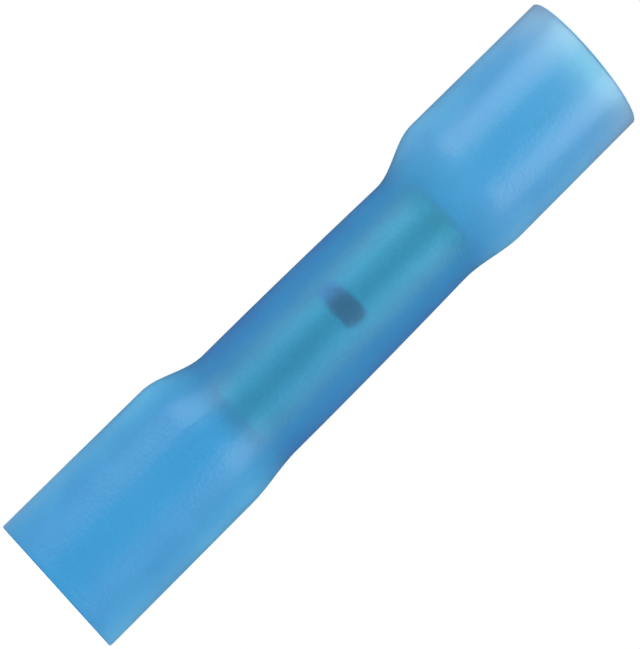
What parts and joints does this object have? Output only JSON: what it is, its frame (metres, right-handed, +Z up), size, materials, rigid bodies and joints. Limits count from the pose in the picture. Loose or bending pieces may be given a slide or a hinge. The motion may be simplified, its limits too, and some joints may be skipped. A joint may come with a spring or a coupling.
{
  "type": "butt splice connector",
  "caption": "Translucent blue heat-shrink butt splice: a sleeve with open flared mouths, necked in around a tinned copper crimp barrel with a pressed wire stop, for joining wires end to end.",
  "frame": {"origin": "centre of the sleeve's lower mouth, in the plane of its cut face, on which the connector stands", "axes": "+Z up along the connector, whose axis leans 2.7 degrees towards -X because the lower end cut is slanted; -Y the side of the wire stop; +X the side to which the neck is offset"},
  "size_m": [0.0093, 0.0076, 0.0361],
  "materials": {
    "sleeve": "satin translucent blue heat-shrink polyolefin",
    "barrel": "tin-plated copper, satin"
  },
  "bodies": {
    "root": {"sleeve": "sleeve", "barrel": "barrel"}
  },
  "joints": []
}
